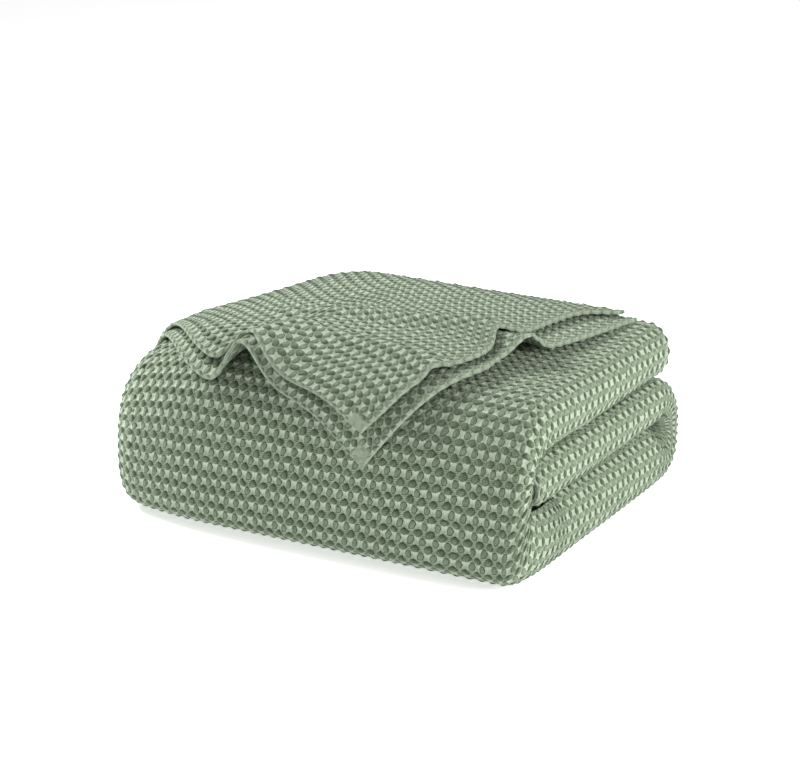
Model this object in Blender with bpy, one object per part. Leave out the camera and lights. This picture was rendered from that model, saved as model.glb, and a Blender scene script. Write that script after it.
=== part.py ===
"""A waffle weave cotton blanket, folded into a pack, with one doubled corner laid over the top.

The cloth is first folded along its length into six layers, with all the turns
nested at the right end.  That bundle is then folded in three like a letter:
top run, round the front, bottom run, round the back, and the middle run
between them.  At the top of the back edge the cloth comes forward again as
two draped sheets, whose corner hangs over the front.

Metres, +Z up, the long side along X, the folded front facing -Y.
"""

import bpy
import bmesh
import numpy as np
from mathutils import Matrix

# ---- the cloth
CLOTH = 0.0042            # loft of the waffle weave
GAP = 0.0012              # air between the layers at a turn
LAYERS = 6                # layers in the bundle
FILL = 0.70               # most of the bundle's thickness that is cloth

# ---- the pack
RIGHT = 0.200             # right end of the turns
LEFT = -0.206             # left end of the bundle
BOTTOM_TOP = 0.059        # upper face of the bottom run
MIDDLE_BASE = 0.062       # lower face of the middle run
MIDDLE_TOP = 0.100        # upper face of the middle run
TOP_BASE = 0.103          # lower face of the top run
TOP = 0.150               # upper face of the top run
BACK_TOP = 0.119          # back end of the top run
FRONT_AXIS = -0.080       # where the front turn begins
FRONT_REACH = 0.082       # how far the front turn bulges forward
FRONT_BELLY = 0.0385      # height at which it bulges the most
UPPER_POWER = 2.95        # squareness of the bulge above that height: 2 is an ellipse
LOWER_POWER = 5.2         # and below it
FRONT_CLOTH = 0.022       # thickness of the bundle round the front, where it is drawn tight
BACK_AXIS = 0.112         # where the back turn begins
BACK_REACH = 0.049        # how far the back turn bulges backward
BACK_POWER = 4.2          # squareness of its lower half
MIDDLE_END = -0.137       # free front end of the middle run
END_TAPER = 0.018         # length over which that end is pressed thinner
END_PRESS = 0.0085        # how much each face of it gives
ROUNDING = 0.017          # how far the front's left end draws back
DROOP = 0.020             # how far the left end sinks
TAPER = 0.035             # how far its back corner draws in to the right

# ---- the draped corner, two sheets of the same cloth
SHEET = 0.003             # thickness of a draped sheet
SHEET_STEPS = (20, 14)    # cells along and across a sheet
REST = (0.0045, 0.0105)   # height of the lower and upper sheet over the pack
ROOT = (0.0006, 0.0027)   # height of the same where they join the pack at the back
ROOT_RUN = 0.030          # how far forward they rise from the one to the other
LEFT_SHOULDER = -0.180    # where the pack's top begins to turn down at its left end
SHOULDER = 0.024          # radius of that turn
COVER = 0.0055            # least height of the upper sheet over the lower one
HEM_POINTS = 240          # points of a hem's curve

# Each hem runs through a few places: distance along the pack (along), from the back
# edge over the top and down the front (over), and height above the pack's skin (lift),
# all to the cloth's middle.  Left hems run from the left end to the corner, right hems
# from the back edge to the corner.  A ruffle has its place (along on a left hem, over
# on a right one), how far it draws the hem back and lifts it, and its half width on
# either side.
LOWER_LEFT = [  # along, over, lift
    (-0.206, 0.200, 0.006), (-0.110, 0.270, 0.006), (-0.010, 0.278, 0.005),
    (0.057, 0.316, 0.005)]
LOWER_LEFT_RUFFLES = [(-0.074, 0.026, 0.020, 0.014, 0.032)]
LOWER_RIGHT = [  # along, over, lift
    (0.170, 0.002, 0.0006), (0.155, 0.090, 0.006), (0.130, 0.180, 0.009),
    (0.125, 0.225, 0.009), (0.057, 0.316, 0.005)]
LOWER_RIGHT_RUFFLES = [(0.145, 0.002, 0.014, 0.012, 0.025)]
UPPER_LEFT = [  # along, over, lift
    (-0.206, 0.185, 0.012), (-0.110, 0.255, 0.013), (0.000, 0.268, 0.011),
    (0.055, 0.290, 0.010)]
UPPER_LEFT_RUFFLES = [(-0.074, 0.022, 0.012, 0.014, 0.032)]
UPPER_RIGHT = [  # along, over, lift
    (0.158, 0.002, 0.0027), (0.130, 0.040, 0.010), (0.120, 0.100, 0.010),
    (0.116, 0.205, 0.012), (0.080, 0.262, 0.010), (0.055, 0.290, 0.010)]
UPPER_RIGHT_RUFFLES = [
    (0.135, 0.015, 0.006, 0.020, 0.030),
    (0.235, 0.005, 0.005, 0.010, 0.010)]
RIDGES = [  # along, over at each end, height, half width: soft folds across the upper sheet
    (-0.080, 0.165, 0.090, 0.125, 0.006, 0.014),
    (-0.045, 0.213, 0.085, 0.217, 0.005, 0.012)]

# ---- the turns of the bundle
TURN_PLUMP = 0.80         # reach of a turn at the right end, over half its thickness
WRAP_REACH = 0.026        # reach of the outer layer round the left end
TUCK = 0.055              # how far the outer layer is tucked under at the left end


def superarc(angles, reach, rise, power):
    """Points of a superellipse quarter or half: reach*cos^(2/n), rise*sin^(2/n), signs kept."""
    c, s = np.cos(angles), np.sin(angles)
    n = 2.0 / power
    return reach * np.sign(c) * np.abs(c) ** n, rise * np.sign(s) * np.abs(s) ** n


def front_turn(angles):
    """Outer y, z round the front: two superellipse quarters that meet at the belly."""
    upper_y, upper_z = superarc(angles, FRONT_REACH, TOP - FRONT_BELLY, UPPER_POWER)
    lower_y, lower_z = superarc(angles, FRONT_REACH, FRONT_BELLY, LOWER_POWER)
    above = angles > 0
    return (FRONT_AXIS - np.where(above, upper_y, lower_y),
            FRONT_BELLY + np.where(above, upper_z, lower_z))


def letter_fold():
    """Stations of the letter fold, as rows of outer y, outer z, inner y, inner z."""
    rows = []
    for y in np.linspace(BACK_TOP, FRONT_AXIS, 6)[:-1]:
        rows.append((y, TOP, y, TOP_BASE))
    turn = np.linspace(np.pi / 2, -np.pi / 2, 10)
    outer_y, outer_z = front_turn(turn)
    hole = (TOP_BASE - BOTTOM_TOP) / 2
    iy, iz = superarc(turn, FRONT_REACH - FRONT_CLOTH, hole, 3.0)
    centre = (TOP_BASE + BOTTOM_TOP) / 2
    rows += list(zip(outer_y, outer_z, FRONT_AXIS - iy, centre + iz))
    for y in np.linspace(FRONT_AXIS, BACK_AXIS, 5)[1:-1]:
        rows.append((y, 0.0, y, BOTTOM_TOP))
    turn = np.linspace(-np.pi / 2, np.pi / 2, 7)
    upper_y, upper_z = superarc(turn, BACK_REACH, MIDDLE_TOP / 2, 2.2)
    lower_y, lower_z = superarc(turn, BACK_REACH, MIDDLE_TOP / 2, BACK_POWER)
    oy, oz = np.where(turn > 0, upper_y, lower_y), np.where(turn > 0, upper_z, lower_z)
    hole = (MIDDLE_BASE - BOTTOM_TOP) / 2
    iy, iz = superarc(turn, 2 * hole, hole, 2.0)
    centre = (MIDDLE_BASE + BOTTOM_TOP) / 2
    rows += list(zip(BACK_AXIS + oy, MIDDLE_TOP / 2 + oz, BACK_AXIS + iy, centre + iz))
    for y in np.linspace(BACK_AXIS, MIDDLE_END + END_TAPER, 4)[1:]:
        rows.append((y, MIDDLE_TOP, y, MIDDLE_BASE))
    rows.append((MIDDLE_END, MIDDLE_TOP - END_PRESS, MIDDLE_END, MIDDLE_BASE + END_PRESS))
    return np.array(rows)


def half_turn(x, depth_from, depth_to, reach, steps):
    """A turn of the cloth at x, from one depth to another; it bulges by reach (minus is left)."""
    a = np.linspace(0, np.pi, steps + 2)[1:-1]
    mid, half = (depth_from + depth_to) / 2, (depth_from - depth_to) / 2
    return [(x + reach * np.sin(t), mid + half * np.cos(t)) for t in a]


def bundle_section(thick, left, right):
    """Centre line of the cloth across the bundle, as (x, depth), with its thickness."""
    cloth = min(CLOTH, FILL * thick / LAYERS)
    pitch = (thick - cloth) / (LAYERS - 1)
    depth = [cloth / 2 + pitch * k for k in range(LAYERS)]
    inset = cloth + GAP
    span = [0.12, 0.38, 0.62, 0.88]

    # each turn at the right end joins layer k to layer 5 - k
    reach = [TURN_PLUMP * (depth[5 - k] - depth[k]) / 2 for k in range(3)]
    base = [right - cloth / 2 - inset * k - reach[k] for k in range(3)]

    def run(x0, x1, d):
        return [(x0 + (x1 - x0) * t, d) for t in span]

    wrap = left + cloth / 2 + WRAP_REACH
    tuck_end = wrap + TUCK - WRAP_REACH
    low_turn = tuck_end + inset
    path = [(tuck_end, depth[5]), (wrap, depth[5])]
    path += half_turn(wrap, depth[5], depth[0], -WRAP_REACH, 5)
    path += [(wrap, depth[0])] + run(wrap, base[0], depth[0]) + [(base[0], depth[0])]
    path += half_turn(base[0], depth[0], depth[5], reach[0], 5)
    path += [(base[0], depth[5])] + run(base[0], low_turn, depth[5])
    path += half_turn(low_turn, depth[5], depth[4], -pitch * 0.45, 3)
    path += run(low_turn, base[1], depth[4]) + [(base[1], depth[4])]
    path += half_turn(base[1], depth[4], depth[1], reach[1], 4)
    path += [(base[1], depth[1])] + run(base[1], wrap, depth[1])
    path += half_turn(wrap, depth[1], depth[2], -pitch * 0.45, 3)
    path += run(wrap, base[2], depth[2])
    path += half_turn(base[2], depth[2], depth[3], reach[2], 3)
    path += run(base[2], wrap, depth[3]) + [(wrap, depth[3])]
    return np.array(path), cloth


def thicken(path, cloth):
    """The two faces of the cloth: the centre line moved half its thickness each way."""
    along = np.gradient(path, axis=0)
    along /= np.linalg.norm(along, axis=1)[:, None]
    side = np.stack([-along[:, 1], along[:, 0]], axis=1) * cloth / 2
    return path + side, path - side


def settle(points):
    """The pack as it lies: full in the middle, low at the left end, its left corners rounded."""
    x, y, z = points.T
    end = np.clip(-(x + 0.10) / 0.10, 0, 1.2)
    up = 0.004 * np.cos(x / 0.17) + 0.0015 * np.sin(x / 0.045 + 1.0) * np.cos(y / 0.06)
    up -= DROOP * np.minimum(end, 1) ** 2
    back = ROUNDING * end ** 2 * np.clip(-y / 0.15, 0, 1)
    inward = TAPER * np.clip(-x / 0.18, 0, 1.2) ** 2 * np.clip((y + 0.03) / 0.14, 0, 1.1)
    return np.column_stack([x + inward, y + back, z + z / TOP * up])


def add_mesh(name, verts, faces):
    """A new object from points and faces, with its faces turned outward."""
    mesh = bpy.data.meshes.new(name)
    bm = bmesh.new()
    corner = [bm.verts.new(v) for v in verts]
    for f in faces:
        bm.faces.new([corner[i] for i in f])
    bmesh.ops.recalc_face_normals(bm, faces=bm.faces)
    bm.to_mesh(mesh)
    bm.free()
    obj = bpy.data.objects.new(name, mesh)
    bpy.context.scene.collection.objects.link(obj)
    return obj


def folded_pack():
    """The bundle's section carried along the letter fold."""
    rings = []
    for outer_y, outer_z, inner_y, inner_z in letter_fold():
        outer, inner = np.array([outer_y, outer_z]), np.array([inner_y, inner_z])
        thick = np.linalg.norm(inner - outer)
        path, cloth = bundle_section(thick, LEFT, RIGHT)
        one, other = thicken(path, cloth)
        section = np.vstack([one, other[::-1]])
        yz = outer + (inner - outer) / thick * section[:, 1:]
        rings.append(np.column_stack([section[:, 0], yz]))
    ring, count = len(rings[0]), len(rings)
    verts = settle(np.vstack(rings))
    faces = []
    for j in range(count - 1):
        for i in range(ring):
            n = (i + 1) % ring
            faces.append((j * ring + i, j * ring + n, (j + 1) * ring + n, (j + 1) * ring + i))
    for j in (0, count - 1):
        for i in range(ring // 2 - 1):
            faces.append(tuple(j * ring + k for k in (i, i + 1, ring - 2 - i, ring - 1 - i)))
    return add_mesh("blanket", verts, faces)


def skin_profile():
    """The pack's top and front from the back edge forward: distance, y, z, normal y, normal z."""
    top = np.linspace(BACK_TOP, FRONT_AXIS, 30)
    turn_y, turn_z = front_turn(np.linspace(np.pi / 2, -np.pi / 2, 120)[1:])
    y = np.concatenate([top, turn_y])
    z = np.concatenate([np.full(len(top), TOP), turn_z])
    dy, dz = np.gradient(y), np.gradient(z)
    length = np.hypot(dy, dz)
    over = np.concatenate([[0.0], np.cumsum(np.hypot(np.diff(y), np.diff(z)))])
    return over, y, z, dz / length, -dy / length


def on_skin(along, over, lift):
    """Points at a height above the pack's skin; past the left shoulder the skin turns down."""
    table = skin_profile()
    y, z, ny, nz = (np.interp(over, table[0], column) for column in table[1:])
    turn = np.clip((LEFT_SHOULDER - along) / SHOULDER, 0, 1.5)
    x = np.where(along < LEFT_SHOULDER, LEFT_SHOULDER - (SHOULDER + lift) * np.sin(turn), along)
    rise = (SHOULDER + lift) * np.cos(turn) - SHOULDER
    return settle(np.column_stack([x, y + ny * rise, z + nz * rise]))


def hem_curve(places, ruffles, axis):
    """A Catmull-Rom curve through a hem's places, with each ruffle as a bell curve on it.

    axis is 0 where the ruffles' places are along the pack, and 1 where they are over it.
    """
    rows = np.array(places)
    last = len(rows) - 1
    at = np.linspace(0, last, HEM_POINTS)
    first = np.minimum(at.astype(int), last - 1)
    t = (at - first)[:, None]
    ends = np.vstack([2 * rows[0] - rows[1], rows, 2 * rows[-1] - rows[-2]])
    before, one, two, after = (ends[first + k] for k in range(4))
    smooth = 0.5 * (2 * one + (two - before) * t + (2 * before - 5 * one + 4 * two - after) * t ** 2
                    + (3 * one - before - 3 * two + after) * t ** 3)
    curve = smooth.copy()
    for place, back, lifted, half_before, half_after in ruffles:
        gap = smooth[:, axis] - place
        bell = np.exp(-(gap / np.where(gap < 0, half_before, half_after)) ** 2)
        curve[:, 1 - axis] -= back * bell
        curve[:, 2] += lifted * bell
    return curve


def read_hem(curve, steps):
    """A hem's curve at equal steps of its length."""
    run = np.concatenate([[0.0], np.cumsum(np.linalg.norm(np.diff(curve[:, :2], axis=0), axis=1))])
    at = np.linspace(0, run[-1], steps + 1)
    return np.column_stack([np.interp(at, run, curve[:, k]) for k in range(3)])


def sheet_map(left_hem, right_hem, root, rest):
    """A sheet between the back edge, the left end and its two hems, as a grid of rows.

    A Coons patch places it: the sum of the two straight blends between
    opposite edges, less the blend of the corners.  Its height is that of the
    sheet at rest, and the lift of each hem dies away from that hem.
    """
    nu, nv = SHEET_STEPS
    front, right = read_hem(left_hem, nu), read_hem(right_hem, nv)
    u, v = np.meshgrid(np.linspace(0, 1, nu + 1), np.linspace(0, 1, nv + 1), indexing="ij")
    back_left = np.array([front[0, 0], right[0, 1]])
    corners = back_left, right[0, :2], front[0, :2], front[-1, :2]
    u, v = u[..., None], v[..., None]
    back = corners[0] + (corners[1] - corners[0]) * u
    left = corners[0] + (corners[2] - corners[0]) * v
    plan = (1 - v) * back + v * front[:, None, :2] + (1 - u) * left + u * right[None, :, :2]
    plan -= ((1 - u) * (1 - v) * corners[0] + u * (1 - v) * corners[1]
             + (1 - u) * v * corners[2] + u * v * corners[3])
    u, v = u[..., 0], v[..., 0]
    rise = np.clip(plan[..., 1] / ROOT_RUN, 0, 1)
    level = root + (rest - root) * rise * rise * (3 - 2 * rise)
    level += (front[:, 2] - rest)[:, None] * v ** 3 + (right[:, 2] - rest)[None] * rise * u ** 5
    return plan, level


def ridge_height(plan):
    """The soft folds: a rounded ridge about each line of RIDGES."""
    height = np.zeros(plan.shape[:-1])
    for x0, o0, x1, o1, rise, half in RIDGES:
        start, span = np.array([x0, o0]), np.array([x1 - x0, o1 - o0])
        t = np.clip((plan - start) @ span / (span @ span), 0, 1)
        gap = np.linalg.norm(plan - start - t[..., None] * span, axis=-1)
        height += rise * np.exp(-(gap / half) ** 2)
    return height


def keep_over(plan, level, under_plan, under_level):
    """Raise a sheet where it would touch the one under it."""
    gap = np.linalg.norm(plan[:, :, None, None] - under_plan[None, None], axis=-1)
    near = np.exp(-(gap / 0.007) ** 2) + 1e-12
    under = (near * under_level).sum((2, 3)) / near.sum((2, 3))
    rise = np.clip(plan[..., 1] / ROOT_RUN, 0, 1)
    return np.maximum(level, (under + COVER) * rise + level * (1 - rise))


def sheet_body(name, plan, level):
    """A sheet of cloth SHEET thick, closed along its four edges."""
    nu, nv = level.shape
    flat, height = plan.reshape(-1, 2), level.ravel()
    upper = on_skin(flat[:, 0], flat[:, 1], height + SHEET / 2)
    lower = on_skin(flat[:, 0], flat[:, 1], height - SHEET / 2)
    index = np.arange(nu * nv).reshape(nu, nv)
    a, b, c, d = index[:-1, :-1], index[1:, :-1], index[1:, 1:], index[:-1, 1:]
    cells = np.stack([a, b, c, d], axis=-1).reshape(-1, 4)
    faces = [tuple(f) for f in cells] + [tuple(f[::-1] + nu * nv) for f in cells]
    rim = np.concatenate([index[:, 0], index[-1, 1:], index[-2::-1, -1], index[0, -2:0:-1]])
    for i, j in zip(rim, np.roll(rim, -1)):
        faces.append((j, i, i + nu * nv, j + nu * nv))
    return add_mesh(name, np.vstack([upper, lower]), faces)


def join(body, piece):
    """Boolean union of a piece into the body; the piece itself is then removed."""
    union = body.modifiers.new("join", "BOOLEAN")
    union.operation = "UNION"
    union.object = piece
    depsgraph = bpy.context.evaluated_depsgraph_get()
    mesh = bpy.data.meshes.new_from_object(body.evaluated_get(depsgraph))
    body.modifiers.clear()
    body.data = mesh
    bpy.data.objects.remove(piece, do_unlink=True)


for old in list(bpy.data.objects):
    bpy.data.objects.remove(old, do_unlink=True)

blanket = folded_pack()
lower_plan, lower_level = sheet_map(hem_curve(LOWER_LEFT, LOWER_LEFT_RUFFLES, 0),
                                    hem_curve(LOWER_RIGHT, LOWER_RIGHT_RUFFLES, 1),
                                    ROOT[0], REST[0])
upper_plan, upper_level = sheet_map(hem_curve(UPPER_LEFT, UPPER_LEFT_RUFFLES, 0),
                                    hem_curve(UPPER_RIGHT, UPPER_RIGHT_RUFFLES, 1),
                                    ROOT[1], REST[1])
upper_level += ridge_height(upper_plan)
upper_level = keep_over(upper_plan, upper_level, lower_plan, lower_level)
join(blanket, sheet_body("lower_sheet", lower_plan, lower_level))
join(blanket, sheet_body("upper_sheet", upper_plan, upper_level))

# the origin is the middle of the base
points = np.array([v.co for v in blanket.data.vertices])
low, high = points.min(axis=0), points.max(axis=0)
middle = ((low[0] + high[0]) / 2, (low[1] + high[1]) / 2, 0.0)
blanket.data.transform(Matrix.Translation(middle).inverted())

cotton = bpy.data.materials.new("sage_cotton")
cotton.use_nodes = True
surface = cotton.node_tree.nodes["Principled BSDF"]
surface.inputs["Base Color"].default_value = (0.27, 0.36, 0.22, 1)
surface.inputs["Roughness"].default_value = 0.9
surface.inputs["Metallic"].default_value = 0.0
blanket.data.materials.append(cotton)
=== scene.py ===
"""The looks of a folded waffle weave cotton blanket.

Each section makes one part of the cloth as it lies in the pack: the outer
layer of the bundle run by run, the layers inside it, then the doubled corner
that is laid over the top, with its hems.  Metres, in the frame of the CAD.
"""

import bpy
import numpy as np
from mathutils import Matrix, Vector


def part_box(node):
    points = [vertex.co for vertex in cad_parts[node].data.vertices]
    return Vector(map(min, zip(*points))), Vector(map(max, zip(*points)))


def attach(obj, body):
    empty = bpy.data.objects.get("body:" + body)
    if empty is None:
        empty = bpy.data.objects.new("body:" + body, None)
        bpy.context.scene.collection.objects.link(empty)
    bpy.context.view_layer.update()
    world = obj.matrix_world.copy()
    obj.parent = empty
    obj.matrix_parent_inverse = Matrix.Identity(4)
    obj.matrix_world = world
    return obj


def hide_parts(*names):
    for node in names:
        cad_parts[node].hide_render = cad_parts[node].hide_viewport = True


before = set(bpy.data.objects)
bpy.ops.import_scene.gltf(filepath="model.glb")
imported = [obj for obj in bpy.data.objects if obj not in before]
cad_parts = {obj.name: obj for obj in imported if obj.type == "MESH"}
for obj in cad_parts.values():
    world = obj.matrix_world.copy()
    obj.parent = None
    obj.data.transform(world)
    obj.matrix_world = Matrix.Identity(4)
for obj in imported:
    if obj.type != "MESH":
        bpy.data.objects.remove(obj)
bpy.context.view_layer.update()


# ---------------------------------------------------------------- the front
# The blanket is one length of sage green honeycomb cotton, woven in cells about
# a centimetre wide, folded in six along its length and then in three.  Here the
# bundle's outer layer comes down over the front of the pack, drawn tight.

TOP, TOP_BASE = 0.150, 0.103            # faces of the bundle's top run
MIDDLE_TOP, MIDDLE_BASE = 0.100, 0.062  # of its middle run
BOTTOM_TOP = 0.059                      # of its bottom run
BACK_TOP = 0.119                        # back end of the top run
FRONT_AXIS, FRONT_REACH = -0.080, 0.082 # where the front turn begins, and how far it reaches
FRONT_BELLY = 0.0385                    # height at which the front bulges the most
UPPER_POWER, LOWER_POWER = 2.95, 5.2    # squareness of the bulge above and below it
FRONT_CLOTH = 0.022                     # thickness of the bundle round the front
ROUNDING = 0.017                        # how far the front's left end draws back
DROOP = 0.020                           # how far the left end sinks
TAPER = 0.035                           # how far its back corner draws in to the right
BACK_AXIS, BACK_REACH = 0.112, 0.049
BACK_POWER = 4.2                        # squareness of the back turn's lower half
MIDDLE_END = -0.137                     # front end of the middle run
END_TAPER, END_PRESS = 0.018, 0.0085    # over what length it thins there, and how much a side
RIGHT, LEFT = 0.200, -0.206             # ends of the pack
TURN_PLUMP = 0.80                       # reach of a turn at the right end, over half its thickness
WRAP_REACH = 0.026                      # reach of the outer layer round the left end
STRAIGHT_ROWS, TURN_ROWS = 30, 161      # rows of the fold's table on a run and on a turn
CELL = (0.0097, 0.0112)                 # the waffle's cell, along and across the pack
STRETCH = 14.5                          # cells a metre fewer down the front, where it is drawn

low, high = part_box("blanket")
PLACE = np.array([high[0] - RIGHT, high[1] - BACK_AXIS - BACK_REACH, 0.0])


def superarc(angles, reach, rise, power):
    """reach*cos^(2/n), rise*sin^(2/n), each with its sign kept."""
    c, s = np.cos(angles), np.sin(angles)
    n = 2.0 / power
    return reach * np.sign(c) * np.abs(c) ** n, rise * np.sign(s) * np.abs(s) ** n


def front_turn(angles):
    """Outer y, z round the front: two superellipse quarters that meet at the belly."""
    upper_y, upper_z = superarc(angles, FRONT_REACH, TOP - FRONT_BELLY, UPPER_POWER)
    lower_y, lower_z = superarc(angles, FRONT_REACH, FRONT_BELLY, LOWER_POWER)
    above = angles > 0
    return (FRONT_AXIS - np.where(above, upper_y, lower_y),
            FRONT_BELLY + np.where(above, upper_z, lower_z))


def letter_fold():
    """The letter fold as rows: distance along its outer face, outer y, z, inner y, z."""
    straight = np.linspace(0, 1, STRAIGHT_ROWS)[:, None]
    fine = np.linspace(np.pi / 2, -np.pi / 2, TURN_ROWS)

    def run(y0, y1, outer, inner):
        y = y0 + (y1 - y0) * straight
        return np.hstack([y, 0 * y + outer, y, 0 * y + inner])

    oy, oz = front_turn(fine)
    iy, iz = superarc(fine, FRONT_REACH - FRONT_CLOTH, (TOP_BASE - BOTTOM_TOP) / 2, 3.0)
    middle = (TOP_BASE + BOTTOM_TOP) / 2
    front = np.column_stack([oy, oz, FRONT_AXIS - iy, middle + iz])
    hole = (MIDDLE_BASE - BOTTOM_TOP) / 2
    upper_y, upper_z = superarc(-fine, BACK_REACH, MIDDLE_TOP / 2, 2.2)
    lower_y, lower_z = superarc(-fine, BACK_REACH, MIDDLE_TOP / 2, BACK_POWER)
    oy, oz = np.where(fine < 0, upper_y, lower_y), np.where(fine < 0, upper_z, lower_z)
    iy, iz = superarc(-fine, 2 * hole, hole, 2.0)
    middle = (MIDDLE_BASE + BOTTOM_TOP) / 2
    back = np.column_stack([BACK_AXIS + oy, MIDDLE_TOP / 2 + oz, BACK_AXIS + iy, middle + iz])
    rows = np.vstack([run(BACK_TOP, FRONT_AXIS, TOP, TOP_BASE)[:-1], front,
                      run(FRONT_AXIS, BACK_AXIS, 0.0, BOTTOM_TOP)[1:-1], back,
                      run(BACK_AXIS, MIDDLE_END, MIDDLE_TOP, MIDDLE_BASE)[1:]])
    last_run = rows[1 - STRAIGHT_ROWS:]
    press = END_PRESS * np.clip(1 - (last_run[:, 0] - MIDDLE_END) / END_TAPER, 0, 1)
    last_run[:, 1] -= press
    last_run[:, 3] += press
    over = np.concatenate([[0.0], np.cumsum(np.hypot(*np.diff(rows[:, :2], axis=0).T))])
    return np.column_stack([over, rows])


FOLD = letter_fold()
FRONT_START = BACK_TOP - FRONT_AXIS                              # where the front turn begins
FRONT_END = FOLD[STRAIGHT_ROWS + TURN_ROWS - 2, 0]               # where it ends, under the pack
BACK_START = FRONT_END + BACK_AXIS - FRONT_AXIS                  # the back turn
BACK_END = FOLD[2 * (STRAIGHT_ROWS + TURN_ROWS) - 4, 0]
FOLD_END = FOLD[-1, 0]


def settle(points):
    """The pack as it lies: full in the middle, low at the left end, its left corners rounded."""
    x, y, z = (points[..., k] for k in range(3))
    end = np.clip(-(x + 0.10) / 0.10, 0, 1.2)
    up = 0.004 * np.cos(x / 0.17) + 0.0015 * np.sin(x / 0.045 + 1.0) * np.cos(y / 0.06)
    up -= DROOP * np.minimum(end, 1) ** 2
    back = ROUNDING * end ** 2 * np.clip(-y / 0.15, 0, 1)
    inward = TAPER * np.clip(-x / 0.18, 0, 1.2) ** 2 * np.clip((y + 0.03) / 0.14, 0, 1.1)
    return np.stack([x + inward, y + back, z + z / TOP * up], axis=-1)


def layer_point(along, over):
    """A point of the bundle's outer layer.

    along is measured on the cloth across the pack: flat from the left wrap to
    the right turn, and round a half ellipse past each of them.  over is
    measured on the cloth from the back edge over the top, down the front,
    under the pack and round the back.
    """
    oy, oz, iy, iz = (np.interp(over, FOLD[:, 0], FOLD[:, k]) for k in range(1, 5))
    thick = np.hypot(iy - oy, iz - oz)
    half = thick / 2
    reach = TURN_PLUMP * half
    right, left = RIGHT - reach, LEFT + WRAP_REACH
    right_arc = np.pi * np.sqrt((reach ** 2 + half ** 2) / 2)
    left_arc = np.pi * np.sqrt((WRAP_REACH ** 2 + half ** 2) / 2)
    turn = np.clip((along - right) / right_arc, 0, 1) * np.pi
    wrap = np.clip((left - along) / left_arc, 0, 1) * np.pi
    tail = np.clip(along - right - right_arc, 0, None) - np.clip(left - left_arc - along, 0, None)
    x = np.clip(along, left, right) + reach * np.sin(turn) - WRAP_REACH * np.sin(wrap) - tail
    depth = half * (2 - np.cos(turn) - np.cos(wrap)) / thick
    y, z = oy + (iy - oy) * depth, oz + (iz - oz) * depth
    return settle(np.stack([x, y, z], axis=-1)) + PLACE


def weave_place(along, over):
    """Place in the weave, in cells; on the front its columns lean and its rows are drawn apart."""
    front_length = FRONT_END - FRONT_START
    down = np.clip((over - FRONT_START) / front_length, 0, 1)
    drawn = STRETCH * front_length * (down / 2 - np.sin(2 * np.pi * down) / (4 * np.pi))
    square = np.clip((0.19 - along) / 0.10, 0.35, 1)
    lean = 0.05 * over + 0.09 * front_length * down * square
    return np.stack([(along + lean) / CELL[0], over / CELL[1] - drawn], axis=-1)


def waffle(place):
    """Relief of the weave, -1 to 1: knobs at whole cells, smaller ones between four, floats low."""
    u, v = np.cos(2 * np.pi * place[..., 0]), np.cos(2 * np.pi * place[..., 1])
    return 0.62 * u * v + 0.12 * u + 0.26 * v


def outward(points):
    """Unit normals of a grid of points, from the cross product of its two directions."""
    du, dv = np.gradient(points, axis=0), np.gradient(points, axis=1)
    normal = np.cross(dv, du)
    return normal / np.maximum(np.linalg.norm(normal, axis=-1, keepdims=True), 1e-12)


def grid_faces(rows, columns, first=0):
    """Corner numbers of the four-sided faces of a grid."""
    index = np.arange(rows * columns).reshape(rows, columns) + first
    return np.stack([index[:-1, :-1], index[:-1, 1:], index[1:, 1:], index[1:, :-1]],
                    axis=-1).reshape(-1, 4)


def cloth_mesh(name, points, faces, place, plain_and_edge_highlight, material):
    """A smooth mesh with the weave's cells as its UV map and, as an attribute, the plain-woven share,
    which along the corner hems' edges is also a painted highlight.
    """
    mesh = bpy.data.meshes.new(name)
    mesh.vertices.add(len(points))
    mesh.vertices.foreach_set("co", points.astype(np.float32).ravel())
    mesh.loops.add(faces.size)
    mesh.loops.foreach_set("vertex_index", faces.astype(np.int32).ravel())
    mesh.polygons.add(len(faces))
    mesh.polygons.foreach_set("loop_start", np.arange(0, faces.size, 4, dtype=np.int32))
    mesh.update(calc_edges=True)
    mesh.shade_smooth()
    uv = mesh.uv_layers.new(name="weave")
    uv.data.foreach_set("uv", place[faces.ravel()].astype(np.float32).ravel())
    share = mesh.attributes.new("plain_and_edge_highlight", "FLOAT", "POINT")
    share.data.foreach_set("value", plain_and_edge_highlight.astype(np.float32).ravel())
    mesh.materials.append(material)
    piece = bpy.data.objects.new(name, mesh)
    bpy.context.scene.collection.objects.link(piece)
    return piece


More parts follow.
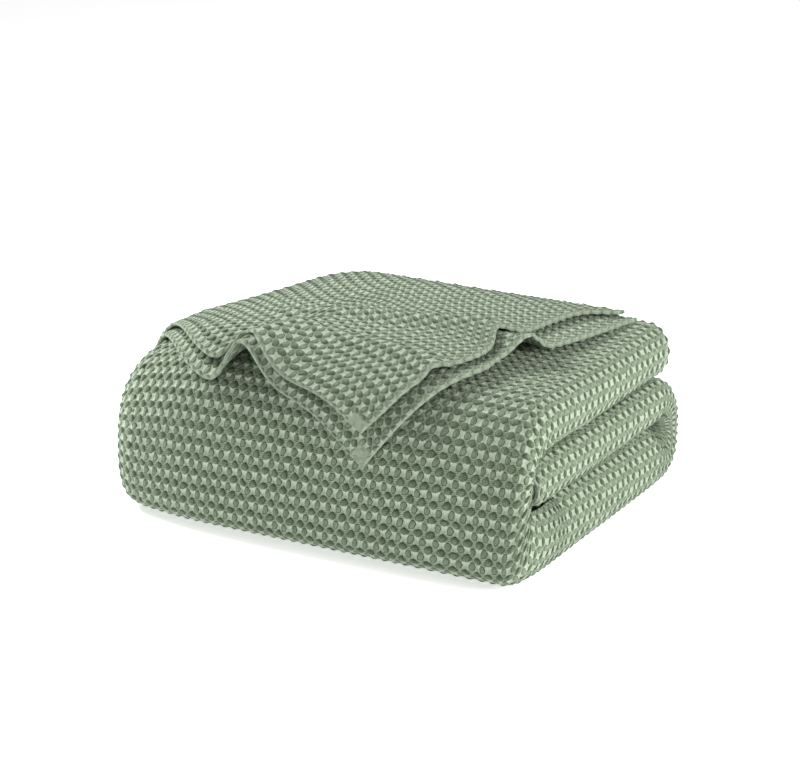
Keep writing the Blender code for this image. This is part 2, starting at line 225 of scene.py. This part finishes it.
def cotton(name, relief):
    """Sage cotton.  The cells' colour and the yarns come from the weave's UV map.

    With u, v in cells, a broad dark oval lies where 0.40 cos(2 pi u) + 0.60
    cos(2 pi v) is high, a smaller ringed one where cos(2 pi u) + cos(2 pi v) is
    low, and a pale block of floating warp where 0.42 cos(2 pi u) - 0.58
    cos(2 pi v) is high.  The pale blocks are a painted highlight on the floats,
    and the ovals' darker rims are painted shade.  relief is the share of the
    cells' relief in the bump.
    """
    material = bpy.data.materials.new(name)
    material.use_nodes = True
    nodes, links = material.node_tree.nodes, material.node_tree.links
    surface = nodes["Principled BSDF"]

    def add(kind, **values):
        node = nodes.new(kind)
        for key, value in values.items():
            setattr(node, key, value)
        return node

    def calc(operation, *terms):
        node = add("ShaderNodeMath", operation=operation)
        for socket, term in zip(node.inputs, terms):
            if isinstance(term, (int, float)):
                socket.default_value = term
            else:
                links.new(term, socket)
        return node.outputs[0]

    def blend(share, one, other):
        """one where share is 0 and other where it is 1"""
        node = add("ShaderNodeMix", data_type="FLOAT")
        for socket, term in zip(node.inputs[0:1] + node.inputs[2:4], (share, one, other)):
            if isinstance(term, (int, float)):
                socket.default_value = term
            else:
                links.new(term, socket)
        return node.outputs[0]

    uv = add("ShaderNodeUVMap", uv_map="weave").outputs[0]
    split = add("ShaderNodeSeparateXYZ")
    links.new(uv, split.inputs[0])
    plain_and_edge_highlight = add("ShaderNodeAttribute", attribute_name="plain_and_edge_highlight").outputs["Fac"]

    wander = add("ShaderNodeTexNoise", noise_dimensions="2D")
    wander.inputs["Scale"].default_value = 0.9
    wander.inputs["Detail"].default_value = 2.0
    links.new(uv, wander.inputs["Vector"])
    drift = calc("MULTIPLY", calc("SUBTRACT", wander.outputs[0], 0.5), 0.34)
    u, v = calc("ADD", split.outputs[0], drift), calc("SUBTRACT", split.outputs[1], drift)
    cos_u = calc("COSINE", calc("MULTIPLY", u, 2 * np.pi))
    cos_v = calc("COSINE", calc("MULTIPLY", v, 2 * np.pi))
    both = calc("MULTIPLY", calc("ADD", cos_u, cos_v), 0.5)
    floats = calc("MULTIPLY", calc("SUBTRACT", cos_u, cos_v), 0.5)
    broad = calc("ADD", calc("MULTIPLY", cos_u, 0.40), calc("MULTIPLY", cos_v, 0.60))

    def step(value, low, high):
        """0 below low, 1 above high, smooth between"""
        node = add("ShaderNodeMapRange", interpolation_type="SMOOTHSTEP")
        links.new(value, node.inputs["Value"])
        node.inputs["From Min"].default_value = low
        node.inputs["From Max"].default_value = high
        return node.outputs[0]

    # pale blocks of floating warp, lightened as a painted highlight, then the smaller
    # ovals and the broad ones, each darker round its edge as painted shade, where it
    # dips under the floats
    minus = calc("MULTIPLY", both, -1.0)
    block = calc("SUBTRACT", calc("MULTIPLY", cos_u, 0.42), calc("MULTIPLY", cos_v, 0.58))
    pale = step(block, 0.02, 0.24)
    small, small_core = step(minus, 0.30, 0.46), step(minus, 0.48, 0.70)
    oval, oval_core = step(broad, 0.22, 0.40), step(broad, 0.44, 0.75)
    shade = blend(pale, 0.64, 1.04)
    shade = blend(small, shade, blend(small_core, 0.24, 0.54))
    shade = blend(oval, shade, blend(oval_core, 0.18, 0.36))

    # yarns: warp along v shows on the pale floats, weft along u on the others
    rough = add("ShaderNodeTexNoise", noise_dimensions="2D")
    rough.inputs["Scale"].default_value = 7.0
    rough.inputs["Detail"].default_value = 3.0
    links.new(uv, rough.inputs["Vector"])
    jitter = calc("MULTIPLY", calc("SUBTRACT", rough.outputs[0], 0.5), 1.6)
    warp = calc("ABSOLUTE", calc("SINE", calc("ADD", calc("MULTIPLY", u, 7 * np.pi), jitter)))
    fill = calc("ABSOLUTE", calc("SINE", calc("ADD", calc("MULTIPLY", v, 8 * np.pi), jitter)))
    fine_warp = calc("ABSOLUTE", calc("SINE", calc("MULTIPLY", split.outputs[0], 11 * np.pi)))
    fine_fill = calc("ABSOLUTE", calc("SINE", calc("MULTIPLY", split.outputs[1], 13 * np.pi)))
    across = calc("ADD", calc("MULTIPLY", floats, 0.8), 0.5)
    clamp = add("ShaderNodeClamp")
    links.new(across, clamp.inputs[0])
    yarn = blend(clamp.outputs[0], fill, warp)
    yarn = blend(plain_and_edge_highlight, yarn, calc("MULTIPLY", fine_warp, fine_fill))
    shade = calc("ADD", shade, calc("MULTIPLY", calc("SUBTRACT", yarn, 0.6), 0.26))

    # each cell takes the dye a little differently, and the cloth as a whole too
    cell = add("ShaderNodeTexNoise", noise_dimensions="2D")
    cell.inputs["Scale"].default_value = 2.2
    cell.inputs["Detail"].default_value = 1.0
    links.new(uv, cell.inputs["Vector"])
    shade = calc("ADD", shade, calc("MULTIPLY", calc("SUBTRACT", cell.outputs[0], 0.5), 0.40))
    # where the plain weave shows, its flat lighter tone; along the corner hems' rolled edges this tone
    # is a painted highlight
    shade = blend(plain_and_edge_highlight, shade, calc("ADD", calc("MULTIPLY", yarn, 0.20), 0.72))

    # the darker stops are a deeper, more saturated green: the tint of the painted shade between the
    # cells
    colour = add("ShaderNodeValToRGB")
    links.new(shade, colour.inputs[0])
    stops = ((0.0, (0.035, 0.060, 0.026, 1)), (0.35, (0.098, 0.140, 0.080, 1)),
             (0.65, (0.220, 0.283, 0.190, 1)), (1.0, (0.455, 0.530, 0.410, 1)))
    ramp = colour.color_ramp
    ramp.elements[0].position, ramp.elements[0].color = stops[0]
    ramp.elements[1].position, ramp.elements[1].color = stops[3]
    for at, value in stops[1:3]:
        ramp.elements.new(at).color = value
    links.new(colour.outputs[0], surface.inputs["Base Color"])

    knobs = calc("ADD", calc("MULTIPLY", calc("MULTIPLY", cos_u, cos_v), 0.6),
                 calc("MULTIPLY", cos_v, 0.3))
    height = calc("ADD", calc("MULTIPLY", knobs, relief), calc("MULTIPLY", yarn, 0.16))
    height = calc("SUBTRACT", height, calc("MULTIPLY", calc("SUBTRACT", small, small_core), 0.30))
    height = calc("SUBTRACT", height, calc("MULTIPLY", calc("SUBTRACT", oval, oval_core), 0.30))
    fuzz = add("ShaderNodeTexNoise", noise_dimensions="2D")
    fuzz.inputs["Scale"].default_value = 26.0
    fuzz.inputs["Detail"].default_value = 3.0
    links.new(uv, fuzz.inputs["Vector"])
    height = calc("ADD", height, calc("MULTIPLY", fuzz.outputs[0], 0.10))
    bump = add("ShaderNodeBump")
    bump.inputs["Strength"].default_value = 0.9
    bump.inputs["Distance"].default_value = 0.0020
    links.new(height, bump.inputs["Height"])
    links.new(bump.outputs[0], surface.inputs["Normal"])

    surface.inputs["Roughness"].default_value = 0.92
    surface.inputs["Specular IOR Level"].default_value = 0.25
    surface.inputs["Sheen Weight"].default_value = 0.25
    surface.inputs["Sheen Roughness"].default_value = 0.55
    surface.inputs["Sheen Tint"].default_value = (0.82, 0.90, 0.78, 1)
    return material


WAFFLE_COTTON = cotton("waffle_cotton", 0.80)
KNOB = 0.00115                          # half the height from pit to knob


def outer_layer(name, along, over):
    """A stretch of the bundle's outer layer on a grid of steps along and over, in full relief."""
    a, o = np.meshgrid(along, over, indexing="ij")
    points = layer_point(a, o)
    place = weave_place(a, o)
    points = points + outward(points) * (waffle(place) * KNOB)[..., None]
    piece = cloth_mesh(name, points.reshape(-1, 3), grid_faces(*a.shape), place.reshape(-1, 2),
                       np.zeros(a.size), WAFFLE_COTTON)
    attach(piece, "root")
    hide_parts("blanket")
    return piece


FINE = 0.00125                          # spacing of the finest grids
ROUND_LEFT = np.arange(LEFT + WRAP_REACH - 0.100, LEFT + WRAP_REACH, 2 * FINE)
ROUND_RIGHT = np.arange(0.0, RIGHT + 0.062, FINE)
FLAT = np.arange(LEFT + WRAP_REACH, 0.0, FINE)
outer_layer("front", np.concatenate([ROUND_LEFT, FLAT, ROUND_RIGHT[:-8]]),
            np.linspace(FRONT_START, FRONT_END, 158))


# ---------------------------------------------------------------- top, bottom and middle runs
# The same layer lies over the top of the pack, under it, and round the middle
# run between.  Its turns are the three soft rolls at the right end; at the left
# end it wraps round the others.  Where nothing shows, the grid is coarser.

TURN_START = 0.165                      # where the turns at the right end begin to show
TURNS = ROUND_RIGHT[ROUND_RIGHT > TURN_START]
HIDDEN = np.arange(LEFT + WRAP_REACH, TURN_START, 0.006)
outer_layer("top", np.concatenate([ROUND_LEFT, FLAT[::3], ROUND_RIGHT]),
            np.linspace(0.0, FRONT_START, 176))
outer_layer("bottom", np.concatenate([ROUND_LEFT, HIDDEN, TURNS]),
            np.linspace(FRONT_END, BACK_START, 154))
outer_layer("middle", np.concatenate([ROUND_LEFT, HIDDEN, TURNS]),
            np.linspace(BACK_END, FOLD_END, 178))


# ---------------------------------------------------------------- the back turn
# From under the pack the bundle of six layers comes up round the back and into
# the middle run.  Here too the outer layer goes round the others, rounder above
# than below, where the pack's own weight presses it square.

BACK = np.arange(LEFT + WRAP_REACH, TURN_START, 2 * FINE)
outer_layer("back_turn", np.concatenate([ROUND_LEFT, BACK, TURNS]),
            np.linspace(BACK_START, BACK_END, 90))


# ---------------------------------------------------------------- the layers inside
# Five more layers lie in the bundle, a little apart, their turns nested in the
# outer one.  Their hems show at the back edge and in the gap behind the front.

LAYERS, GAP = 6, 0.0012
FILL = 0.72                             # most of the bundle's thickness that is cloth
BUNDLE = 0.042                          # thickness of the bundle where it lies free
TUCK = 0.055                            # how far the outer layer is tucked under at the left end


def half_turn(x, depth_from, depth_to, reach, steps=9):
    """A turn of the cloth at x: half an ellipse from one depth to another."""
    a = np.linspace(0, np.pi, steps + 2)[1:-1]
    middle, half = (depth_from + depth_to) / 2, (depth_from - depth_to) / 2
    return np.column_stack([x + reach * np.sin(a), middle + half * np.cos(a)])


def layers_line(thick, cloth, whole):
    """Centre line of the layers across the bundle, as x and depth; whole adds the outer one."""
    pitch = (thick - cloth) / (LAYERS - 1)
    depth = cloth / 2 + pitch * np.arange(LAYERS)
    inset = cloth + GAP
    reach = TURN_PLUMP * (depth[5:2:-1] - depth[:3]) / 2
    base = RIGHT - cloth / 2 - inset * np.arange(3) - reach
    wrap = LEFT + cloth / 2 + WRAP_REACH
    low_turn = wrap + TUCK - WRAP_REACH + inset

    def run(x0, x1, d):
        return np.column_stack([np.linspace(x0, x1, 14), np.full(14, d)])

    outer = [run(wrap + 0.022, wrap, depth[5]), half_turn(wrap, depth[5], depth[0], -WRAP_REACH),
             run(wrap, base[0], depth[0]), half_turn(base[0], depth[0], depth[5], reach[0])]
    inner = [run(base[0] - (0.0 if whole else 0.03), low_turn, depth[5]),
             half_turn(low_turn, depth[5], depth[4], -pitch * 0.45),
             run(low_turn, base[1], depth[4]), half_turn(base[1], depth[4], depth[1], reach[1]),
             run(base[1], wrap, depth[1]), half_turn(wrap, depth[1], depth[2], -pitch * 0.45),
             run(wrap, base[2], depth[2]), half_turn(base[2], depth[2], depth[3], reach[2]),
             run(base[2], wrap, depth[3])]
    return np.vstack(outer + inner if whole else inner)


def thick_layers(name, over, whole, cloth, plain_and_edge_highlight, inset):
    """The layers' line thickened and carried along part of the letter fold, with closed ends.

    inset is a share of the cloth's thickness for each step of over, so that a
    hem's edge can be rounded.
    """
    rings, places = [], []
    for at, share in zip(over, inset):
        oy, oz, iy, iz = (np.interp(at, FOLD[:, 0], FOLD[:, k]) for k in range(1, 5))
        thick = np.hypot(iy - oy, iz - oz)
        sheet = min(cloth, FILL * thick / LAYERS)
        line = layers_line(thick, sheet, whole)
        step = np.gradient(line, axis=0)
        step /= np.linalg.norm(step, axis=1, keepdims=True)
        side = np.column_stack([-step[:, 1], step[:, 0]]) * sheet / 2 * share
        section = np.vstack([line + side, (line - side)[::-1]])
        y, z = oy + (iy - oy) * section[:, 1] / thick, oz + (iz - oz) * section[:, 1] / thick
        rings.append(settle(np.column_stack([section[:, 0], y, z])) + PLACE)
        run = np.concatenate([[0.0], np.cumsum(np.linalg.norm(np.diff(line, axis=0), axis=1))])
        run = np.concatenate([run, run[::-1]])
        places.append(np.column_stack([run / CELL[0], np.full(len(run), at / CELL[1])]))
    count, ring = len(rings), len(rings[0])
    index = np.arange(count * ring).reshape(count, ring)
    wrapped = np.hstack([index, index[:, :1]])
    walls = np.stack([wrapped[:-1, :-1], wrapped[1:, :-1], wrapped[1:, 1:], wrapped[:-1, 1:]],
                     axis=-1).reshape(-1, 4)
    half = ring // 2
    caps = []
    for row, turn in ((index[0], 1), (index[-1], -1)):
        one, other = row[:half], row[half:][::-1]
        cap = np.stack([one[:-1], one[1:], other[1:], other[:-1]], axis=-1)
        caps.append(cap[:, ::turn])
    faces = np.vstack([walls] + caps)
    piece = cloth_mesh(name, np.vstack(rings), faces, np.vstack(places),
                       np.full(count * ring, plain_and_edge_highlight), PLAIN_COTTON)
    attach(piece, "root")
    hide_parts("blanket")
    width = float(np.linalg.norm(np.diff(layers_line(BUNDLE, cloth, whole), axis=0), axis=1).sum())
    return piece


PLAIN_COTTON = cotton("folded_cotton", 0.9)
HEM = 0.012                             # depth of the hems that show
ROUNDED = np.array([0.35, 0.75, 1.0, 1.0, 1.0])
thick_layers("inner_layers", np.linspace(HEM, FOLD_END - HEM, 70), False, 0.0036, 0.0,
             np.ones(70))
thick_layers("back_hems", np.array([-0.0010, -0.0004, 0.0010, 0.006, HEM]), True, 0.0040, 0.8,
             ROUNDED)
thick_layers("middle_hems", FOLD_END - np.array([HEM, 0.006, -0.0010, -0.0024, -0.0030]), True,
             0.0040, 0.8, ROUNDED[::-1])


# ---------------------------------------------------------------- the lower corner
# One corner of the doubled blanket is brought forward over the top.  Its lower
# sheet reaches furthest down the front.  Both hems are turned and stitched, so
# their bands are flatter than the weave, and they ruffle where the cloth is full.

LEFT_SHOULDER, SHOULDER = -0.180, 0.024 # where the top turns down at the left, and its radius
ROOT_RUN = 0.030                        # how far forward a sheet rises from root to rest
LOWER_ROOT, LOWER_REST = 0.0012, 0.0048 # height over the pack at the back edge, and lying free
CORNER = ((0.340, 0.0), (0.360, 0.150), (0.0, 0.370))   # the cut: left hem, left end, right hem

# Each hem as in the CAD, but higher at the back edge, where the CAD's sheets sink into
# the pack: the places it runs through (along the pack, over it from the back edge, height
# over it), and its ruffles: place, drawn back, lifted, and half width on either side.
LOWER_LEFT = (  # along, over, lift
    (-0.206, 0.200, 0.006), (-0.110, 0.270, 0.006), (-0.010, 0.278, 0.005),
    (0.057, 0.316, 0.005))
LOWER_LEFT_RUFFLES = ((-0.074, 0.026, 0.020, 0.014, 0.032),)
LOWER_RIGHT = (  # along, over, lift
    (0.170, 0.002, 0.001), (0.155, 0.090, 0.006), (0.130, 0.180, 0.009),
    (0.125, 0.225, 0.009), (0.057, 0.316, 0.005))
LOWER_RIGHT_RUFFLES = ((0.145, 0.002, 0.014, 0.012, 0.025),)


def spline(rows, at):
    """Rows read at fractions of their count by a Catmull-Rom curve through them."""
    rows = np.asarray(rows, float)
    last = len(rows) - 1
    at = np.clip(at, 0, last)
    i = np.minimum(at.astype(int), last - 1)
    shape = (-1,) + (1,) * (rows.ndim - 1)
    t = (at - i).reshape(shape)
    before = np.where((i == 0).reshape(shape), 2 * rows[0] - rows[1], rows[np.maximum(i - 1, 0)])
    after = np.where((i + 2 > last).reshape(shape), 2 * rows[last] - rows[last - 1],
                     rows[np.minimum(i + 2, last)])
    one, two = rows[i], rows[i + 1]
    return 0.5 * (2 * one + (two - before) * t + (2 * before - 5 * one + 4 * two - after) * t ** 2
                  + (3 * one - before - 3 * two + after) * t ** 3)


def hem_curve(places, ruffles, axis):
    """A curve through a hem's places, with each ruffle as a bell curve on it.

    axis is 0 where the ruffles' places are along the pack, and 1 where they are over it.
    """
    smooth = spline(places, np.linspace(0, len(places) - 1, 600))
    curve = smooth.copy()
    for place, drawn, lifted, half_before, half_after in ruffles:
        gap = smooth[:, axis] - place
        bell = np.exp(-(gap / np.where(gap < 0, half_before, half_after)) ** 2)
        curve[:, 1 - axis] -= drawn * bell
        curve[:, 2] += lifted * bell
    return curve


def read_hem(curve, steps):
    """A hem's curve at equal steps of its own length."""
    run = np.concatenate([[0.0], np.cumsum(np.linalg.norm(np.diff(curve, axis=0), axis=1))])
    at = np.linspace(0, run[-1], steps + 1)
    return np.column_stack([np.interp(at, run, curve[:, k]) for k in range(3)])


COARSE = (72, 54)                       # steps of the sheets' shape before it is refined


def sheet_map(left_hem, right_hem, root, rest):
    """A sheet's plan and height on a coarse grid.

    A Coons patch between the back edge, the left end and the two hems: the
    sum of the two straight blends between opposite edges, less the blend of
    the corners.  The lift of each hem dies away from that hem.
    """
    front_hem, right = read_hem(left_hem, COARSE[0]), read_hem(right_hem, COARSE[1])
    u, v = np.meshgrid(np.linspace(0, 1, COARSE[0] + 1), np.linspace(0, 1, COARSE[1] + 1),
                       indexing="ij")
    a, b = u[..., None], v[..., None]
    back_left = np.array([front_hem[0, 0], right[0, 1]])
    c00, c10, c01, c11 = back_left, right[0, :2], front_hem[0, :2], front_hem[-1, :2]
    plan = (1 - b) * (c00 + (c10 - c00) * a) + b * front_hem[:, None, :2]
    plan = plan + (1 - a) * (c00 + (c01 - c00) * b) + a * right[None, :, :2]
    plan = plan - ((1 - a) * (1 - b) * c00 + a * (1 - b) * c10 + (1 - a) * b * c01 + a * b * c11)
    rise = np.clip(plan[..., 1] / ROOT_RUN, 0, 1)
    level = root + (rest - root) * rise ** 2 * (3 - 2 * rise)
    level = level + (front_hem[:, 2] - rest)[:, None] * v ** 3
    level = level + (right[:, 2] - rest)[None] * rise * u ** 5
    return plan, level


def refine(grid, at_u, at_v):
    """A coarse grid read at finer steps by Catmull-Rom curves, one way and then the other."""
    rows = spline(grid, at_u)
    return np.swapaxes(spline(np.swapaxes(rows, 0, 1), at_v), 0, 1)


def on_skin(along, over, lift):
    """Points at a height above the pack's skin; past the left shoulder the skin turns down."""
    y, z = np.interp(over, FOLD[:, 0], FOLD[:, 1]), np.interp(over, FOLD[:, 0], FOLD[:, 2])
    ahead = over + 0.002
    dy = np.interp(ahead, FOLD[:, 0], FOLD[:, 1]) - np.interp(over - 0.002, FOLD[:, 0], FOLD[:, 1])
    dz = np.interp(ahead, FOLD[:, 0], FOLD[:, 2]) - np.interp(over - 0.002, FOLD[:, 0], FOLD[:, 2])
    length = np.hypot(dy, dz)
    turn = np.clip((LEFT_SHOULDER - along) / SHOULDER, 0, 1.5)
    x = np.where(along < LEFT_SHOULDER, LEFT_SHOULDER - (SHOULDER + lift) * np.sin(turn), along)
    rise = (SHOULDER + lift) * np.cos(turn) - SHOULDER
    return settle(np.stack([x, y + dz / length * rise, z - dy / length * rise], axis=-1)) + PLACE


def hem_steps(count, steps, edge):
    """Steps of a refined grid, closer together over the last stretch, where the hem's edge is."""
    spread = np.linspace(0, count * (1 - edge), steps)
    close = count * (1 - edge * (1 - np.array([0.35, 0.6, 0.78, 0.9, 0.97, 1.0])))
    return np.concatenate([spread, close])


HEM_BAND, HEM_EDGE = 0.0105, 0.0016     # width of the turned band, and its edge's rounding
SHEET_HALF = 0.0013                     # half the cloth's thickness under its relief


def corner_sheet(name, plan, level, steps, knob, tab_size):
    """One sheet of the corner, closed: its relief above, the same weave's back below.

    knob is half the height of its relief.  The hem's stitching draws a shallow
    groove along its band.  tab_size is the folded tip, where the two hems cross
    and nothing of the waffle shows.
    """
    at_u, at_v = hem_steps(COARSE[0], steps[0], 0.007), hem_steps(COARSE[1], steps[1], 0.009)
    u, v = np.meshgrid(at_u / COARSE[0], at_v / COARSE[1], indexing="ij")
    fine_plan = refine(plan, at_u, at_v)
    base = on_skin(fine_plan[..., 0], fine_plan[..., 1], refine(level, at_u, at_v))
    normal = outward(base)
    (left_p, _), (end_p, end_q), (_, right_q) = CORNER
    from_right = (1 - u) * v * left_p + (1 - u) * (1 - v) * end_p
    from_left = (1 - u) * (1 - v) * end_q + u * (1 - v) * right_q
    edge = np.minimum(from_right, from_left)
    rounding = np.sqrt(1 - (1 - np.clip(edge / HEM_EDGE, 0.02, 1)) ** 2)
    band = np.clip((edge - HEM_BAND + 0.0015) / 0.003, 0, 1)
    band = band * band * (3 - 2 * band)
    place = np.stack([from_right / CELL[0], from_left / CELL[1]], axis=-1)
    groove = np.exp(-((edge - HEM_BAND) / 0.0011) ** 2) * 0.0007
    tab = np.clip((tab_size[0] - from_left) / 0.0012, 0, 1)
    tab = tab * np.clip((tab_size[1] - from_right) / 0.0012, 0, 1)
    half = (SHEET_HALF + 0.0004 * (1 - band) + 0.0005 * tab) * rounding - groove * (1 - tab)
    relief = waffle(place) * knob * (0.75 + 0.25 * band) * rounding * (1 - tab)
    above = base + normal * (half + relief)[..., None]
    below = base - normal * (half - relief * 0.6)[..., None]
    nu, nv = u.shape
    index = np.arange(nu * nv).reshape(nu, nv)
    rim = np.concatenate([index[:, 0], index[-1, 1:], index[-2::-1, -1], index[0, -2:0:-1]])
    after = np.roll(rim, -1)
    faces = np.vstack([grid_faces(nu, nv), grid_faces(nu, nv, nu * nv)[:, ::-1],
                       np.stack([rim, after, after + nu * nv, rim + nu * nv], axis=-1)])
    # share of plain weave: a little on the hem's band, all of the folded tip, and a bright line along
    # the rolled edge, which is a painted highlight in the plain weave's tone
    share = np.maximum(0.05 * (1 - band) + 0.9 * np.exp(-(edge / 0.0022) ** 2), tab).ravel()
    piece = cloth_mesh(name, np.vstack([above.reshape(-1, 3), below.reshape(-1, 3)]), faces,
                       np.tile(place.reshape(-1, 2), (2, 1)), np.tile(share, 2), WAFFLE_COTTON)
    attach(piece, "root")
    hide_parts("blanket")
    return piece


lower_plan, lower_level = sheet_map(hem_curve(LOWER_LEFT, LOWER_LEFT_RUFFLES, 0),
                                    hem_curve(LOWER_RIGHT, LOWER_RIGHT_RUFFLES, 1),
                                    LOWER_ROOT, LOWER_REST)
CORNER_STEPS = (216, 168)
corner_sheet("lower_corner", lower_plan, lower_level, CORNER_STEPS, 0.0008, (0.0165, 0.0165))


# ---------------------------------------------------------------- the upper corner
# The other half of the doubled cloth lies on the first, set back from it, with
# two soft folds where it is full.

UPPER_ROOT, UPPER_REST = 0.0060, 0.0105
COVER, NEAR = 0.0056, 0.004             # gap between the sheets' middles, and reach of the near mean
UPPER_LEFT = (  # along, over, lift
    (-0.206, 0.185, 0.012), (-0.110, 0.255, 0.013), (0.000, 0.268, 0.011),
    (0.055, 0.290, 0.010))
UPPER_LEFT_RUFFLES = ((-0.074, 0.022, 0.012, 0.014, 0.032),)
UPPER_RIGHT = (  # along, over, lift
    (0.158, 0.002, UPPER_ROOT), (0.130, 0.040, 0.010), (0.120, 0.100, 0.010),
    (0.116, 0.205, 0.012), (0.080, 0.262, 0.010), (0.055, 0.290, 0.010))
UPPER_RIGHT_RUFFLES = (
    (0.135, 0.015, 0.006, 0.020, 0.030),
    (0.235, 0.005, 0.005, 0.010, 0.010))
RIDGES = (  # along, over at each end, height, half width
    (-0.080, 0.165, 0.090, 0.125, 0.006, 0.014),
    (-0.045, 0.213, 0.085, 0.217, 0.005, 0.012))


def ridge_height(plan):
    """Soft folds: a rounded ridge about each line of RIDGES."""
    height = np.zeros(plan.shape[:-1])
    for x0, o0, x1, o1, rise, half in RIDGES:
        start, span = np.array([x0, o0]), np.array([x1 - x0, o1 - o0])
        t = np.clip((plan - start) @ span / (span @ span), 0, 1)
        gap = np.linalg.norm(plan - start - t[..., None] * span, axis=-1)
        height += rise * np.exp(-(gap / half) ** 2)
    return height


def keep_over(plan, level, under_plan, under_level, cover):
    """Raise a sheet where it would touch the one under it, whose height is a near mean.

    cover is the gap square to the cloth, so it is taken larger where the cloth is steep.
    """
    result = level.copy()
    slope_u, slope_v = (np.gradient(under_level, axis=k)
                        / np.linalg.norm(np.gradient(under_plan, axis=k), axis=-1) for k in (0, 1))
    height = (under_level + cover * np.sqrt(1 + slope_u ** 2 + slope_v ** 2)).ravel()
    flat = under_plan.reshape(-1, 2)
    for i in range(len(plan)):
        gap = np.linalg.norm(plan[i][:, None] - flat, axis=-1)
        near = np.exp(-(gap / NEAR) ** 2) + 1e-12
        result[i] = np.maximum(level[i], (near * height).sum(1) / near.sum(1))
    rise = np.clip(plan[..., 1] / ROOT_RUN, 0, 1)
    return result * rise + level * (1 - rise)


upper_plan, upper_level = sheet_map(hem_curve(UPPER_LEFT, UPPER_LEFT_RUFFLES, 0),
                                    hem_curve(UPPER_RIGHT, UPPER_RIGHT_RUFFLES, 1),
                                    UPPER_ROOT, UPPER_REST)
upper_level = upper_level + ridge_height(upper_plan)
upper_level = keep_over(upper_plan, upper_level, lower_plan, lower_level, COVER)
corner_sheet("upper_corner", upper_plan, upper_level, CORNER_STEPS, 0.0009, (0.0120, 0.0200))


# ---------------------------------------------------------------- studio
# A pale floor and soft light: a high key from the left, a fill from the right,
# and an even white surround.

def soft_light(name, place, target, size, power):
    """A square area light at a place, turned to face a target."""
    data = bpy.data.lights.new(name, "AREA")
    data.shape, data.size, data.energy = "SQUARE", size, power
    lamp = bpy.data.objects.new(name, data)
    aim = np.array(target) - np.array(place)
    lamp.location = place
    lamp.rotation_euler = Vector(aim).to_track_quat("-Z", "Y").to_euler()
    bpy.context.scene.collection.objects.link(lamp)


soft_light("key", (-1.2, 0.05, 1.00), (0, 0, 0.07), 0.40, 30)
soft_light("fill", (1.4, 0.0, 0.50), (0, 0, 0.07), 0.5, 17)
world = bpy.data.worlds.new("surround")
world.use_nodes = True
world.node_tree.nodes["Background"].inputs["Color"].default_value = (1, 1, 1, 1)
world.node_tree.nodes["Background"].inputs["Strength"].default_value = 0.45
bpy.context.scene.world = world
bpy.context.scene.view_settings.view_transform = "Standard"

floor_mesh = bpy.data.meshes.new("floor")
REACH = 12.0
floor_mesh.from_pydata([(-REACH, -REACH, 0), (REACH, -REACH, 0), (REACH, REACH, 0),
                        (-REACH, REACH, 0)], [], [(0, 1, 2, 3)])
floor = bpy.data.objects.new("floor", floor_mesh)
bpy.context.scene.collection.objects.link(floor)
paper = bpy.data.materials.new("pale_paper")
paper.use_nodes = True
paper.node_tree.nodes["Principled BSDF"].inputs["Base Color"].default_value = (0.9, 0.9, 0.9, 1)
paper.node_tree.nodes["Principled BSDF"].inputs["Roughness"].default_value = 0.9
paper.node_tree.nodes["Principled BSDF"].inputs["Emission Color"].default_value = (1, 1, 1, 1)
paper.node_tree.nodes["Principled BSDF"].inputs["Emission Strength"].default_value = 0.55
floor_mesh.materials.append(paper)

AZIMUTH, ELEVATION, AWAY = np.radians(29.07), np.radians(18.36), 2.189
AIM = Vector((-0.0009, 0.0, 0.0996)) + Vector(PLACE)
back = Vector((np.sin(AZIMUTH) * np.cos(ELEVATION), -np.cos(AZIMUTH) * np.cos(ELEVATION),
               np.sin(ELEVATION)))
camera_data = bpy.data.cameras.new("camera")
camera_data.lens, camera_data.sensor_width = 113.4, 36.0
camera = bpy.data.objects.new("camera", camera_data)
camera.location = AIM + AWAY * back
camera.rotation_euler = back.to_track_quat("Z", "Y").to_euler()
bpy.context.scene.collection.objects.link(camera)
bpy.context.scene.camera = camera
